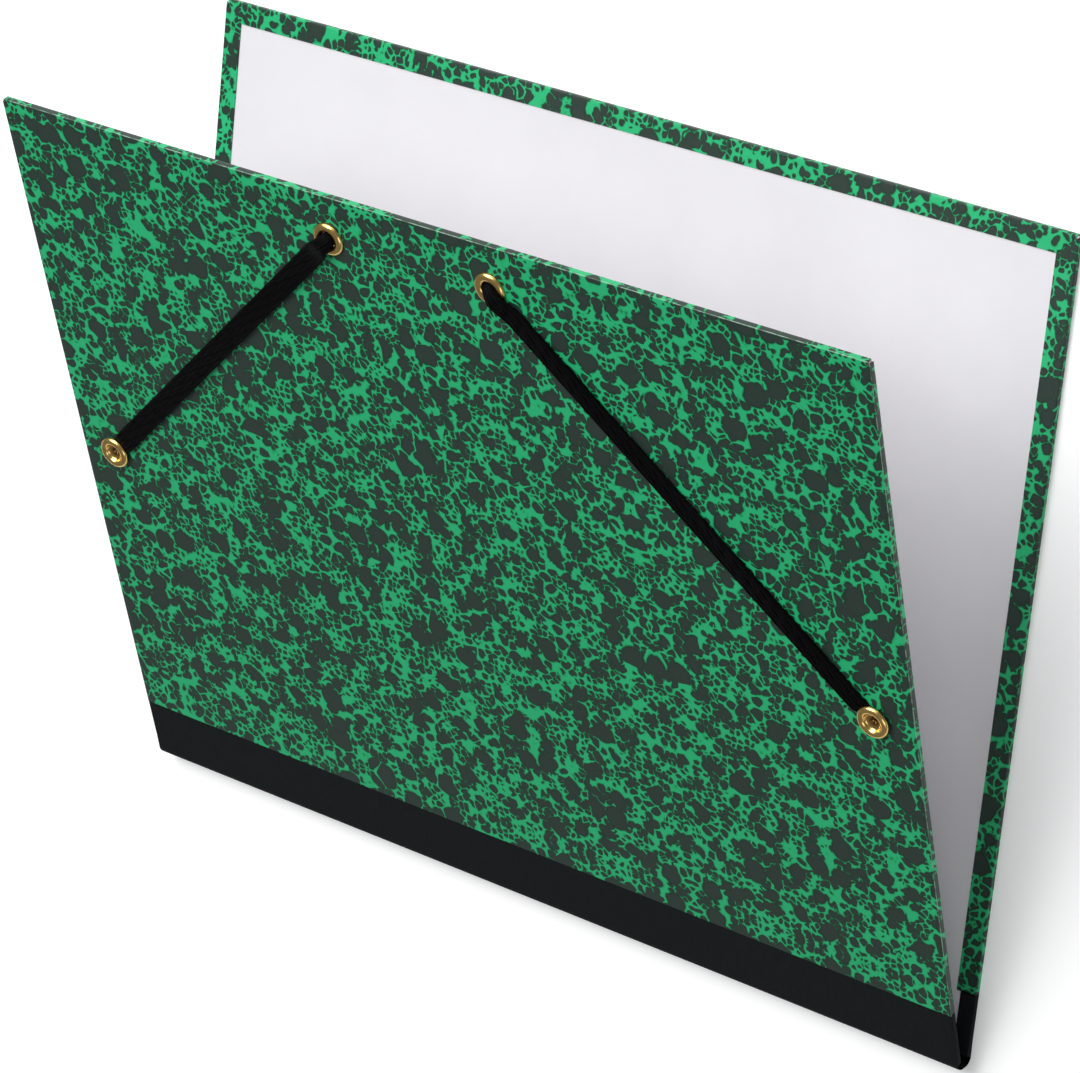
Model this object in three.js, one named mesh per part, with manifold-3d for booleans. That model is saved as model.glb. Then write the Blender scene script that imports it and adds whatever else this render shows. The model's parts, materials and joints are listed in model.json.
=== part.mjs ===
// Drawing portfolio: two stiff covers joined by a cloth spine, closed by an elastic across the corners.
// Millimetres, +Z up. It lies on its back cover, spine along X, with the front cover lifted open.
// The origin is under the middle of the whole portfolio, on the surface that it lies on.

import * as THREE from 'three';
import { mergeVertices } from 'three/addons/utils/BufferGeometryUtils.js';
import Module from 'manifold-3d';

// Covers
const SPINE_LENGTH = 330;
const COVER_DEPTH = 260;
const BOARD = 1.2;
const LINING = 0.2;
const COVERING = 0.3;
const PASTE = 0.05;
const CORNER_RADIUS = 0.8;
const PAPER_TURN_IN = 7;
const MITRE_SLIT = 0.2;

// Cloth spine
const CLOTH_BAND = 20;
const CLOTH_TURN_IN = 5.5;
const INNER_STRIP = 8;
const SPINE_ROOM = 2;
const SPINE_EASE = 0.05;
const CREASE = 0.1;
const OPEN_ANGLE = 22;

// Eyelets of rolled brass, in the front cover
const EYELET_BORE = 5.2;
const EYELET_SHEET = 0.3;
const EYELET_FLANGE = 11.2;
const EYELET_DOME = 1.25;
const EYELET_CURL = 8.4;
const EYELET_CURL_HEIGHT = 0.75;
const EYELET_FIT = 0.05;
const CRIMP_DEPTH = 0.75;
const CRIMP_SINK = 0.7;
const CRIMP_MOUTH = 1.4;
const CRIMP_PLEAT = 0.22;
const CRIMP_FOLDS = 5;
const CRIMP_TURN = 4;
const TOP_EYELET_SPACING = 62;
const TOP_EYELET_SHIFT = -2.5;
const TOP_EYELET_EDGE = 15.3;
const SIDE_EYELET_EDGE = 14.5;
const SIDE_EYELET_HEIGHT = 129.5;

// Elastic band, threaded through the top eyelets and crimped under the side ones
const BAND_WIDTH = 6.6;
const BAND_THICK = 1.25;
const BAND_RIBS = 4;
const BAND_RIB_DEPTH = 0.12;
const BAND_NECK = 4.2;
const BAND_SPREAD = 7;
const BAND_REST = 0.15;
const BAND_PAD = 9;
const BAND_PAD_THICK = 0.7;
const BAND_PAD_FIT = 0.1;
const BAND_FIT = 0.1;

// Thickness of a finished cover at its turned edges, and where its layers lie
const LAYERS = BOARD + LINING + 3 * PASTE;
const COVER_THICK = LAYERS + 2 * COVERING;
const HINGE_HEIGHT = COVER_THICK + SPINE_ROOM / 2;
const BOARD_EDGE = HINGE_HEIGHT + COVERING + SPINE_EASE;
const FORE_EDGE = BOARD_EDGE + COVER_DEPTH;
const PAPER_EDGE = BOARD_EDGE + CLOTH_BAND;
const OUTER = -HINGE_HEIGHT;
const CORE = OUTER + COVERING;
const INNER = CORE + LAYERS;
const OPENING = THREE.MathUtils.degToRad(OPEN_ANGLE);

// Steps of the rounds
const LATHE_STEPS = 24;
const DRILL_STEPS = 32;
const PAD_STEPS = 30;

const wasm = await Module();
wasm.setup();

const paper = new THREE.MeshStandardMaterial({ color: '#1c7a4e', roughness: 0.35 });
const cloth = new THREE.MeshStandardMaterial({ color: '#1c2021', roughness: 0.9 });
const board = new THREE.MeshStandardMaterial({ color: '#8d8577', roughness: 0.95 });
const lining = new THREE.MeshStandardMaterial({ color: '#f2f1f2', roughness: 0.7 });
const brass = new THREE.MeshStandardMaterial({ color: '#c8a050', roughness: 0.25, metalness: 1 });
const elastic = new THREE.MeshStandardMaterial({ color: '#0d0d0f', roughness: 0.8 });

function toSolid(geometry) {
  const plain = geometry.index ? geometry.toNonIndexed() : geometry.clone();
  plain.deleteAttribute('normal');
  plain.deleteAttribute('uv');
  const merged = mergeVertices(plain, 1e-5);
  return new wasm.Manifold(new wasm.Mesh({
    numProp: 3,
    vertProperties: new Float32Array(merged.attributes.position.array),
    triVerts: new Uint32Array(merged.index.array),
  }));
}

// A closed skin as a solid, turned inside out where its faces point in
function closedSolid(geometry) {
  const solid = toSolid(geometry);
  if (solid.volume() > 0) {
    return solid;
  }
  geometry.index.array.reverse();
  return toSolid(geometry);
}

function toGeometry(solid) {
  const mesh = solid.getMesh();
  const geometry = new THREE.BufferGeometry();
  geometry.setAttribute('position', new THREE.BufferAttribute(new Float32Array(mesh.vertProperties), 3));
  geometry.setIndex(new THREE.BufferAttribute(new Uint32Array(mesh.triVerts), 1));
  geometry.computeVertexNormals();
  return geometry;
}

// A plain block between two corners
function block(x0, x1, y0, y1, z0, z1) {
  const geometry = new THREE.BoxGeometry(x1 - x0, y1 - y0, z1 - z0);
  geometry.translate((x0 + x1) / 2, (y0 + y1) / 2, (z0 + z1) / 2);
  return toSolid(geometry);
}

// A profile drawn in the plane across the spine, run along X between two ends
function runAlongSpine(shape, x0, x1) {
  const geometry = new THREE.ExtrudeGeometry(shape, { depth: 1, bevelEnabled: false, curveSegments: 8 });
  const across = new THREE.Matrix4().makeBasis(
    new THREE.Vector3(0, 1, 0), new THREE.Vector3(0, 0, 1), new THREE.Vector3(1, 0, 0));
  geometry.applyMatrix4(across);
  const place = geometry.attributes.position;
  for (let i = 0; i < place.count; i += 1) {
    place.setX(i, place.getX(i) < 0.5 ? x0 : x1);
  }
  return toSolid(geometry);
}

// An upright round bar through a point of the cover, between two heights
function uprightBar(at, radius, z0, z1, steps) {
  const geometry = new THREE.CylinderGeometry(radius, radius, z1 - z0, steps);
  geometry.rotateX(Math.PI / 2);
  geometry.translate(at[0], at[1], (z0 + z1) / 2);
  return toSolid(geometry);
}

// The outside of a finished cover: a slab whose turned edges are softened by the folded covering
function coverSlab() {
  const soft = COVERING * 0.8;
  const halfX = SPINE_LENGTH / 2 - soft;
  const y0 = BOARD_EDGE - 2 * COVER_THICK;
  const y1 = FORE_EDGE - soft;
  const corner = Math.max(CORNER_RADIUS - soft, 0.05);
  const shape = new THREE.Shape();
  shape.moveTo(-halfX, y0);
  shape.lineTo(halfX, y0);
  shape.lineTo(halfX, y1 - corner);
  shape.absarc(halfX - corner, y1 - corner, corner, 0, Math.PI / 2, false);
  shape.lineTo(-halfX + corner, y1);
  shape.absarc(-halfX + corner, y1 - corner, corner, Math.PI / 2, Math.PI, false);
  shape.closePath();
  const geometry = new THREE.ExtrudeGeometry(shape, {
    depth: COVER_THICK - 2 * soft,
    bevelEnabled: true,
    bevelThickness: soft,
    bevelSize: soft,
    bevelSegments: 3,
    curveSegments: 4,
  });
  geometry.translate(0, 0, OUTER + soft);
  return toSolid(geometry);
}

// The room inside the covering that the board and its lining fill
function boardRoom() {
  const half = SPINE_LENGTH / 2 - COVERING;
  return block(-half, half, BOARD_EDGE, FORE_EDGE - COVERING, CORE, INNER);
}

// The slit of a mitred corner, from the corner of the turned-in border to just short of the fold
function mitreSlit(side) {
  const reach = (PAPER_TURN_IN - COVERING) * Math.SQRT2;
  const geometry = new THREE.BoxGeometry(reach, MITRE_SLIT, COVERING * 2);
  geometry.translate(-reach / 2, 0, 0);
  geometry.rotateZ(side > 0 ? -Math.PI * 3 / 4 : -Math.PI / 4);
  geometry.translate(side * (SPINE_LENGTH / 2 - PAPER_TURN_IN), FORE_EDGE - PAPER_TURN_IN, INNER + COVERING);
  return toSolid(geometry);
}

// Marbled paper: pasted on the outside, turned over three edges and mitred at the corners
function coverPaper() {
  const half = SPINE_LENGTH / 2;
  const window = half - PAPER_TURN_IN;
  let wrap = coverSlab().intersect(
    block(-half - 1, half + 1, PAPER_EDGE + PASTE, FORE_EDGE + 1, OUTER - 1, INNER + COVERING + 1));
  wrap = wrap.subtract(boardRoom());
  wrap = wrap.subtract(
    block(-window, window, PAPER_EDGE - 1, FORE_EDGE - PAPER_TURN_IN, INNER - PASTE, INNER + 2 * COVERING));
  wrap = wrap.subtract(mitreSlit(-1));
  return wrap.subtract(mitreSlit(1));
}

// Half of the cloth spine across the joint: the band under the cover, the quarter round that reaches
// the crease on the hinge line, the fold over the board's edge and the strip inside. A filled section
// closes the cover's end.
function spineSection(layers, innerReach, filled) {
  const inside = HINGE_HEIGHT - layers * COVERING;
  const fold = BOARD_EDGE - COVERING;
  const shape = new THREE.Shape();
  shape.moveTo(PAPER_EDGE, OUTER);
  shape.absarc(
    HINGE_HEIGHT, 0, HINGE_HEIGHT, Math.PI * 1.5, Math.PI + Math.asin(CREASE / HINGE_HEIGHT), true);
  shape.absarc(HINGE_HEIGHT, 0, inside, Math.PI + Math.asin(CREASE / inside), Math.PI * 1.5, false);
  shape.lineTo(fold, -inside);
  shape.lineTo(fold, INNER + COVERING);
  shape.lineTo(innerReach, INNER + COVERING);
  if (!filled) {
    shape.lineTo(innerReach, INNER);
    shape.lineTo(BOARD_EDGE, INNER);
    shape.lineTo(BOARD_EDGE, CORE);
    shape.lineTo(PAPER_EDGE, CORE);
  }
  shape.closePath();
  return shape;
}

// One side of the cloth spine, hemmed and turned in at both ends
function spineCloth() {
  const half = SPINE_LENGTH / 2;
  const hem = half - CLOTH_TURN_IN;
  const cap = half - COVERING;
  const single = spineSection(1, BOARD_EDGE + INNER_STRIP, false);
  const hemmed = spineSection(2, PAPER_EDGE, false);
  const closed = spineSection(2, PAPER_EDGE, true);
  let wing = runAlongSpine(single, -hem, hem);
  for (const [shape, near, far] of [[hemmed, hem, cap], [closed, cap, half]]) {
    wing = wing.add(runAlongSpine(shape, near, far)).add(runAlongSpine(shape, -far, -near));
  }
  return wing;
}

function coverBoard() {
  const half = SPINE_LENGTH / 2 - COVERING - PASTE;
  const z0 = CORE + PASTE;
  return block(-half, half, BOARD_EDGE + PASTE, FORE_EDGE - COVERING - PASTE, z0, z0 + BOARD);
}

function coverLining() {
  const half = SPINE_LENGTH / 2 - COVERING - PASTE;
  const z1 = INNER - PASTE;
  return block(-half, half, BOARD_EDGE + PASTE, FORE_EDGE - COVERING - PASTE, z1 - LINING, z1);
}

// Where the eyelets sit on the front cover. Seen from outside, the cover's own X runs to the left.
const topY = FORE_EDGE - TOP_EYELET_EDGE;
const sideX = SPINE_LENGTH / 2 - SIDE_EYELET_EDGE;
const sideY = BOARD_EDGE + SIDE_EYELET_HEIGHT;
const eyelets = {
  eyelet_top_left: { at: [-TOP_EYELET_SHIFT + TOP_EYELET_SPACING / 2, topY], crimped: false },
  eyelet_top_right: { at: [-TOP_EYELET_SHIFT - TOP_EYELET_SPACING / 2, topY], crimped: false },
  eyelet_side_left: { at: [sideX, sideY], crimped: true },
  eyelet_side_right: { at: [-sideX, sideY], crimped: true },
};

function drillEyelets(solid) {
  const radius = EYELET_BORE / 2 + EYELET_SHEET + EYELET_FIT;
  let drilled = solid;
  for (const { at } of Object.values(eyelets)) {
    drilled = drilled.subtract(uprightBar(at, radius, OUTER - COVER_THICK, INNER + COVER_THICK, DRILL_STEPS));
  }
  return drilled;
}

// Half an ellipse from one foot to the other, as points of a lathe profile
function arch(fromR, toR, baseZ, height, steps) {
  const points = [];
  for (let i = 0; i <= steps; i += 1) {
    const turn = Math.PI * i / steps;
    points.push(new THREE.Vector2(
      (fromR + toR) / 2 + (fromR - toR) / 2 * Math.cos(turn), baseZ + height * Math.sin(turn)));
  }
  return points;
}

// A profile of radius and height turned about Z
function latheSolid(profile) {
  const turned = new THREE.LatheGeometry(profile, LATHE_STEPS);
  turned.rotateX(Math.PI / 2);
  return closedSolid(turned);
}

// Eyelet drawn from one sheet: a domed flange on the outside, a barrel and a rolled edge on the inside.
// Its flange faces down here, because the outside of a cover is its lower face.
function eyelet({ at, crimped }) {
  const bore = EYELET_BORE / 2;
  const barrel = bore + EYELET_SHEET;
  const lift = crimped ? BAND_PAD_THICK + 2 * BAND_PAD_FIT : EYELET_FIT;
  const face = OUTER - lift;
  const back = INNER - PASTE + EYELET_FIT;
  const flange = EYELET_FLANGE / 2;
  const curl = EYELET_CURL / 2;
  const profile = [
    ...arch(flange, bore, face, -EYELET_DOME, 8),
    ...arch(bore, curl, back, EYELET_CURL_HEIGHT, 6),
    ...arch(curl - EYELET_SHEET, barrel, back, EYELET_CURL_HEIGHT - EYELET_SHEET, 4),
    ...arch(barrel, flange - EYELET_SHEET, face, EYELET_SHEET - EYELET_DOME, 6),
  ];
  profile.push(profile[0].clone());
  let solid = latheSolid(profile);
  if (crimped) {
    solid = solid.add(crimpedFloor(face - EYELET_DOME + CRIMP_DEPTH));
  }
  return solid.translate([at[0], at[1], 0]);
}

// The room that an eyelet takes up, with a little clearance, which the elastic gives way to. It is
// turned half a step, so that none of its edges lies along the elastic's middle line.
function eyeletRoom({ at }) {
  const bore = EYELET_BORE / 2 - BAND_FIT;
  const face = OUTER - EYELET_FIT + BAND_FIT;
  const back = INNER - PASTE + EYELET_FIT - BAND_FIT;
  const profile = [
    ...arch(EYELET_FLANGE / 2 + BAND_FIT, bore, face, -EYELET_DOME - 2 * BAND_FIT, 8),
    ...arch(bore, EYELET_CURL / 2 + BAND_FIT, back, EYELET_CURL_HEIGHT + 2 * BAND_FIT, 6),
  ];
  profile.push(profile[0].clone());
  return latheSolid(profile).rotate([0, 0, 180 / LATHE_STEPS]).translate([at[0], at[1], 0]);
}

// The sheet folded in over the crimped elastic: a sunk funnel with pleats, and a star for its mouth
function crimpedFloor(z) {
  const outer = EYELET_BORE / 2 + EYELET_SHEET / 2;
  const mouth = CRIMP_MOUTH / 2;
  const rings = 4;
  const turns = CRIMP_FOLDS * 6;
  const loop = 2 * rings + 2;
  const positions = [];
  const index = [];
  for (let i = 0; i < turns; i += 1) {
    const turn = 2 * Math.PI * i / turns;
    const pleat = Math.cos(CRIMP_FOLDS * turn);
    for (let k = 0; k < loop; k += 1) {
      const share = Math.min(k, loop - 1 - k) / rings;
      const radius = THREE.MathUtils.lerp(outer, mouth * (1 + 0.6 * pleat), share);
      const sunk = CRIMP_SINK * share ** 2 + CRIMP_PLEAT * pleat * share;
      const sheet = k > rings ? EYELET_SHEET : 0;
      positions.push(radius * Math.cos(turn), radius * Math.sin(turn), z + sunk + sheet);
      const next = (k + 1) % loop;
      const beside = (i + 1) % turns;
      index.push(i * loop + k, beside * loop + k, beside * loop + next);
      index.push(i * loop + k, beside * loop + next, i * loop + next);
    }
  }
  const geometry = new THREE.BufferGeometry();
  geometry.setAttribute('position', new THREE.Float32BufferAttribute(positions, 3));
  geometry.setIndex(index);
  geometry.rotateZ(THREE.MathUtils.degToRad(CRIMP_TURN));
  return closedSolid(geometry);
}

// One outline of the elastic: flat with woven ribs where it lies, round where an eyelet pinches it
function bandOutline(width, thick, ribbed) {
  const points = [];
  const count = 20;
  for (let i = 0; i < count; i += 1) {
    const turn = 2 * Math.PI * i / count;
    const square = ribbed ? 0.45 : 1;
    const across = Math.sign(Math.cos(turn)) * Math.abs(Math.cos(turn)) ** square;
    let up = Math.sign(Math.sin(turn)) * Math.abs(Math.sin(turn)) ** square;
    if (ribbed) {
      up *= 1 - BAND_RIB_DEPTH * (1 + Math.cos(2 * Math.PI * BAND_RIBS * (across + 1) / 2));
    }
    points.push([across * width / 2, up * thick / 2]);
  }
  return points;
}

// A skin drawn over outlines set at stations along a path, closed at both ends
function loft(stations) {
  const positions = [];
  const index = [];
  const count = stations[0].outline.length;
  stations.forEach((station, i) => {
    const before = stations[Math.max(i - 1, 0)].centre;
    const after = stations[Math.min(i + 1, stations.length - 1)].centre;
    const along = after.clone().sub(before).normalize();
    const up = new THREE.Vector3().crossVectors(along, station.across).normalize();
    for (const [u, v] of station.outline) {
      const point = station.centre.clone().addScaledVector(station.across, u).addScaledVector(up, v);
      positions.push(point.x, point.y, point.z);
    }
  });
  const last = stations.length - 1;
  for (let i = 0; i < last; i += 1) {
    for (let j = 0; j < count; j += 1) {
      const k = (j + 1) % count;
      index.push(i * count + j, i * count + k, (i + 1) * count + k);
      index.push(i * count + j, (i + 1) * count + k, (i + 1) * count + j);
    }
  }
  for (let j = 1; j < count - 1; j += 1) {
    index.push(0, j + 1, j);
    index.push(last * count, last * count + j, last * count + j + 1);
  }
  const geometry = new THREE.BufferGeometry();
  geometry.setAttribute('position', new THREE.Float32BufferAttribute(positions, 3));
  geometry.setIndex(index);
  return toSolid(geometry);
}

// Unit vector along the cover from one point to another
function towards(from, to) {
  const length = Math.hypot(to[0] - from[0], to[1] - from[1]);
  return [(to[0] - from[0]) / length, (to[1] - from[1]) / length];
}

// Stations of the elastic on a straight line over the cover. A row holds the distance from the start,
// the height, the width, the thickness and whether the ribs show.
function stationsAlong(start, direction, rows) {
  const across = new THREE.Vector3(-direction[1], direction[0], 0);
  return rows.map(([distance, z, width, thick, ribbed]) => ({
    centre: new THREE.Vector3(start[0] + direction[0] * distance, start[1] + direction[1] * distance, z),
    across,
    outline: bandOutline(width, thick, ribbed),
  }));
}

// From a top eyelet's mouth over its rim, down the cover, and flat under the side eyelet's flange
function outerRun(top, side) {
  const length = Math.hypot(side[0] - top[0], side[1] - top[1]);
  const rim = EYELET_FLANGE / 2;
  const lie = OUTER - BAND_REST - BAND_THICK / 2;
  const overRim = OUTER - EYELET_FIT - EYELET_DOME - BAND_REST - BAND_NECK * 0.28;
  const underRim = OUTER - BAND_PAD_FIT - BAND_PAD_THICK / 2;
  const rows = [
    [rim * 0.2, OUTER - BAND_NECK * 0.1, BAND_NECK * 0.94, BAND_NECK * 0.8, false],
    [rim * 0.42, overRim + BAND_NECK * 0.13, BAND_NECK * 0.98, BAND_NECK * 0.5, false],
    [rim * 0.8, overRim, BAND_NECK * 1.12, BAND_THICK * 1.3, false],
    [rim + BAND_SPREAD * 0.35, lie - BAND_THICK * 0.44, BAND_WIDTH * 0.86, BAND_THICK * 1.1, true],
  ];
  const pieces = 8;
  for (let i = 0; i <= pieces; i += 1) {
    const distance = THREE.MathUtils.lerp(rim + BAND_SPREAD, length - rim - BAND_SPREAD, i / pieces);
    rows.push([distance, lie, BAND_WIDTH, BAND_THICK, true]);
  }
  rows.push([length - rim - BAND_SPREAD * 0.43, lie, BAND_WIDTH * 0.95, BAND_THICK, true]);
  rows.push([length - rim - BAND_SPREAD * 0.09, underRim, BAND_WIDTH * 0.88, BAND_PAD_THICK * 0.9, true]);
  rows.push([length - rim * 0.5, underRim, BAND_WIDTH * 0.85, BAND_PAD_THICK * 0.9, true]);
  return stationsAlong(top, towards(top, side), rows);
}

// From the left top eyelet's rolled edge along the inside of the cover to the right one's
function innerRun(left, right) {
  const length = Math.hypot(right[0] - left[0], right[1] - left[1]);
  const curl = EYELET_CURL / 2;
  const lie = INNER - PASTE + BAND_REST + BAND_THICK / 2;
  const overCurl = INNER + EYELET_CURL_HEIGHT + BAND_REST + BAND_THICK / 2;
  const half = [
    [curl * 0.26, INNER + BAND_NECK * 0.08, BAND_NECK * 0.94, BAND_NECK * 0.8, false],
    [curl * 0.6, overCurl + BAND_NECK * 0.04, BAND_NECK * 0.98, BAND_NECK * 0.45, false],
    [curl * 1.1, overCurl, BAND_NECK * 1.1, BAND_THICK * 1.15, false],
    [curl + BAND_SPREAD * 0.7, lie + BAND_THICK * 0.2, BAND_WIDTH * 0.9, BAND_THICK, true],
    [curl + BAND_SPREAD * 1.3, lie, BAND_WIDTH, BAND_THICK, true],
  ];
  const otherHalf = half.map(([distance, ...rest]) => [length - distance, ...rest]).reverse();
  return stationsAlong(left, towards(left, right), [...half, ...otherHalf]);
}

// The round neck inside an eyelet's barrel, where the elastic turns from one run to the next
function neck(at, from, to, z0, z1) {
  return [[0.3, z0], [0.7, z1]].map(([share, z]) => {
    const mixed = new THREE.Vector2(...from).lerp(new THREE.Vector2(...to), share).normalize();
    return {
      centre: new THREE.Vector3(at[0], at[1], z),
      across: new THREE.Vector3(-mixed.y, mixed.x, 0),
      outline: bandOutline(BAND_NECK, BAND_NECK, false),
    };
  });
}

// The end of the elastic under a side eyelet: a round pad, pierced for the eyelet's barrel
function clampedEnd(band, at) {
  const barrel = EYELET_BORE / 2 + EYELET_SHEET + EYELET_FIT;
  const top = OUTER - BAND_PAD_FIT;
  return band
    .add(uprightBar(at, BAND_PAD / 2, top - BAND_PAD_THICK, top, PAD_STEPS))
    .subtract(uprightBar(at, barrel, top - COVER_THICK, top + COVER_THICK, PAD_STEPS));
}

// The elastic: crimped under the left side eyelet, up to the top left eyelet, through it and along the
// inside, out through the top right eyelet and down to the right side eyelet
function elasticBand() {
  const topLeft = eyelets.eyelet_top_left.at;
  const topRight = eyelets.eyelet_top_right.at;
  const sideLeft = eyelets.eyelet_side_left.at;
  const sideRight = eyelets.eyelet_side_right.at;
  const inward = towards(topLeft, topRight);
  const low = (OUTER + INNER) / 2 - BAND_NECK / 12;
  const high = (OUTER + INNER) / 2 + BAND_NECK / 12;
  const up = outerRun(topLeft, sideLeft).reverse();
  const band = loft([
    ...up.map((station) => ({ ...station, across: station.across.clone().negate() })),
    ...neck(topLeft, towards(sideLeft, topLeft), inward, low, high),
    ...innerRun(topLeft, topRight),
    ...neck(topRight, inward, towards(topRight, sideRight), high, low),
    ...outerRun(topRight, sideRight),
  ]);
  const freed = band
    .subtract(eyeletRoom(eyelets.eyelet_top_left))
    .subtract(eyeletRoom(eyelets.eyelet_top_right));
  return clampedEnd(clampedEnd(freed, sideLeft), sideRight);
}

function piece(name, solid, material) {
  const mesh = new THREE.Mesh(toGeometry(solid), material);
  mesh.name = name;
  return mesh;
}

// Each cover is drawn about the hinge line: Y runs from the crease to the fore edge, and the outer
// face is underneath
const backCover = new THREE.Group();
backCover.add(piece('back_board', coverBoard(), board));
backCover.add(piece('back_lining', coverLining(), lining));
backCover.add(piece('back_cover_paper', coverPaper(), paper));
backCover.add(piece('spine_cloth_back', spineCloth(), cloth));

const frontCover = new THREE.Group();
frontCover.add(piece('front_board', drillEyelets(coverBoard()), board));
frontCover.add(piece('front_lining', drillEyelets(coverLining()), lining));
frontCover.add(piece('front_cover_paper', drillEyelets(coverPaper()), paper));
frontCover.add(piece('spine_cloth_front', spineCloth(), cloth));
for (const [name, place] of Object.entries(eyelets)) {
  frontCover.add(piece(name, eyelet(place), brass));
}
frontCover.add(piece('elastic_band', elasticBand(), elastic));

// Turned half round, the front cover lies flat beside the back one. The swing then closes it over
// the back cover to its opening angle.
frontCover.rotation.z = Math.PI;
const swing = new THREE.Group();
swing.rotation.x = OPENING - Math.PI;
swing.add(frontCover);

const spineReach = HINGE_HEIGHT * (1 - Math.cos(OPENING));
const portfolio = new THREE.Group();
portfolio.position.set(0, (spineReach - FORE_EDGE) / 2, HINGE_HEIGHT);
portfolio.add(backCover);
portfolio.add(swing);

const model = new THREE.Group();
model.add(portfolio);

export default model;
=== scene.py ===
import json
import math

import bmesh
import bpy
from mathutils import Matrix, Vector
from mathutils.geometry import delaunay_2d_cdt


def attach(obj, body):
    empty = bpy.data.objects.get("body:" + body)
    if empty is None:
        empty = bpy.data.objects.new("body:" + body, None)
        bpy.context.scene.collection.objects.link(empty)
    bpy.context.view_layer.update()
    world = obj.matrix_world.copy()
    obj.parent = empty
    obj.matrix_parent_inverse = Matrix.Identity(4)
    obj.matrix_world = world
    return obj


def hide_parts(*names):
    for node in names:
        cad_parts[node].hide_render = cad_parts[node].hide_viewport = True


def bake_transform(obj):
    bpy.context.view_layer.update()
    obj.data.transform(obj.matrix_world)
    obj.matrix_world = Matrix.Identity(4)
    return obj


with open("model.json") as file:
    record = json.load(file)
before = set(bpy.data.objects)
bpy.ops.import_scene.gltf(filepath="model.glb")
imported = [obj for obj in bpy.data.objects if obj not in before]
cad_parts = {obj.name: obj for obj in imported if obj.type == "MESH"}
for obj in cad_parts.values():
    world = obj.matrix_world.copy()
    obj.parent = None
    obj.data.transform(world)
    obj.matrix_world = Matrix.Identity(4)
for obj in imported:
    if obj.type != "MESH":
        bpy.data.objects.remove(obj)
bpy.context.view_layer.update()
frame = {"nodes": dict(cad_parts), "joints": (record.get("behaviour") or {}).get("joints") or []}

# Boards: two stiff sheets of grey board made from pressed waste paper, cut square and a little
# smaller than the covers. The covering and the lining hide them, so they keep their plain solids
# and only a fibrous grey pulp shows if a view ever cuts into an eyelet hole.
MM = 0.001


def linear(hex_colour):
    parts = [int(hex_colour[i:i + 2], 16) / 255 for i in (1, 3, 5)]
    return [p / 12.92 if p <= 0.04045 else ((p + 0.055) / 1.055) ** 2.4 for p in parts] + [1.0]


def add_node(tree, kind, settings=None, **inputs):
    """Adds a node. An input is named by its socket, with _ for a space, or by i and its number."""
    node = tree.nodes.new(kind)
    for name, value in (settings or {}).items():
        setattr(node, name, value)
    for name, value in inputs.items():
        key = int(name[1:]) if name[0] == "i" and name[1:].isdigit() else name.replace("_", " ")
        socket = node.inputs[key]
        if isinstance(value, bpy.types.Node):
            value = value.outputs[0]
        if isinstance(value, bpy.types.NodeSocket):
            tree.links.new(value, socket)
        else:
            socket.default_value = value
    return node


def new_material(name):
    material = bpy.data.materials.new(name)
    material.use_nodes = True
    material.node_tree.nodes.clear()
    return material, material.node_tree


def finish_material(tree, **sockets):
    shader = add_node(tree, "ShaderNodeBsdfPrincipled", None, **sockets)
    add_node(tree, "ShaderNodeOutputMaterial", None, Surface=shader)


def dress_node(name, material):
    obj = frame["nodes"][name]
    obj.data.materials.clear()
    obj.data.materials.append(material)


# Grey board is raw pulp: dull, without gloss, with fibres and specks about a millimetre long
grey_board, tree = new_material("raw_grey_board")
place = add_node(tree, "ShaderNodeTexCoord").outputs["Object"]
fibres = add_node(tree, "ShaderNodeTexNoise", None, Vector=place, Scale=1 / (1.2 * MM), Detail=6.0)
tone = add_node(tree, "ShaderNodeMix", {"data_type": "RGBA"}, Factor=fibres.outputs["Fac"],
                i6=linear("#7d7466"), i7=linear("#9d9484"))
grain = add_node(tree, "ShaderNodeBump", None, Strength=0.4, Distance=0.05 * MM,
                 Height=fibres.outputs["Fac"])
finish_material(tree, Base_Color=tone.outputs[2], Roughness=0.95, Normal=grain)
for name in ("back_board", "front_board"):
    dress_node(name, grey_board)

# Linings: smooth white paper pasted over the whole inner face of each board. The turned-in edges
# of the covering lie on top of it, so its own cut edges don't show.
white_lining, tree = new_material("smooth_white_lining_paper")
place = add_node(tree, "ShaderNodeTexCoord").outputs["Object"]
pulp = add_node(tree, "ShaderNodeTexNoise", None, Vector=place, Scale=1 / (28 * MM), Detail=3.0)
tone = add_node(tree, "ShaderNodeMix", {"data_type": "RGBA"}, Factor=pulp.outputs["Fac"],
                i6=linear("#dcdade"), i7=linear("#e6e4e7"))
# Paper tooth of about 0.4 mm, over the slow waves of a pasted sheet
tooth = add_node(tree, "ShaderNodeTexNoise", None, Vector=place, Scale=1 / (0.4 * MM), Detail=4.0)
grain = add_node(tree, "ShaderNodeBump", None, Strength=0.12, Distance=0.03 * MM,
                 Height=tooth.outputs["Fac"])
waves = add_node(tree, "ShaderNodeTexNoise", None, Vector=place, Scale=1 / (45 * MM), Detail=1.0)
pasted = add_node(tree, "ShaderNodeBump", None, Strength=0.5, Distance=0.25 * MM,
                  Height=waves.outputs["Fac"], Normal=grain)
finish_material(tree, Base_Color=tone.outputs[2], Roughness=0.62, Normal=pasted)
for name in ("back_lining", "front_lining"):
    dress_node(name, white_lining)

# Marbled covering: one sheet of varnished paper on each cover, pasted on the outside, folded over
# the head, tail and fore edge, and mitred at the two corners where the flaps meet. The front one
# is pierced for the four eyelets.
HALF_LENGTH = 165.0
HINGE_HEIGHT = 3.15
FORE_EDGE = 263.5
PAPER_EDGE = 23.5
OUTER = -HINGE_HEIGHT
TURNED_FACE = -1.0
TURN_IN = 7.0
SHEET = 0.22
FOLD_RADIUS = 0.42
CORNER = 0.9
MITRE_GROOVE = 0.16
FLAT_FROM = 2.0
WELD = 0.002
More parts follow.
